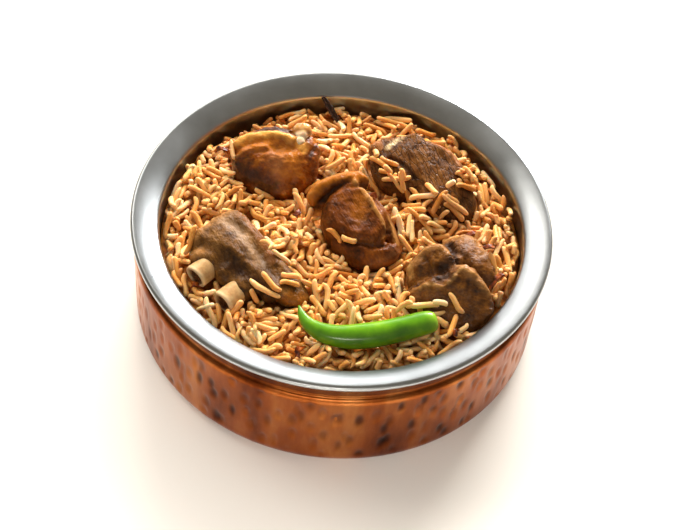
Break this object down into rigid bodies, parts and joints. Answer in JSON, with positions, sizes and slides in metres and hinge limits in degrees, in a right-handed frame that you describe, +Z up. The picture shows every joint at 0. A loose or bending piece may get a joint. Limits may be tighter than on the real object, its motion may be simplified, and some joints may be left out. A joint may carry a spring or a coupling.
{
  "type": "biryani in a pan",
  "caption": "Mutton biryani in a round copper-clad steel handi: spiced rice with braised mutton pieces, rib bones and a green chilli on top.",
  "frame": {"origin": "middle of the pan's flat base, on the surface it stands on", "axes": "+Z up through the pan's axis; the chilli lies on the -Y side and the rib piece towards -X and -Y"},
  "size_m": [0.18, 0.18, 0.0644],
  "materials": {
    "steel": "satin, spun",
    "copper": "hammered, softly polished copper",
    "rice": "cooked rice grains, lightly oiled",
    "mutton": "braised meat, moist",
    "bone": "cooked bone, smooth",
    "cartilage": "cooked cartilage, moist",
    "chilli": "fresh chilli skin, waxy",
    "bark": "cinnamon bark, rough"
  },
  "bodies": {
    "root": {"steel_liner": "steel", "copper_jacket": "copper", "rice": "rice", "mutton_back_left": "mutton", "mutton_centre": "mutton", "mutton_back_right": "mutton", "mutton_rib": "mutton", "mutton_right": "mutton", "bone_knob": "cartilage", "rib_bone_1": "bone", "rib_bone_2": "bone", "green_chilli": "chilli", "cinnamon_shard": "bark"}
  },
  "joints": []
}
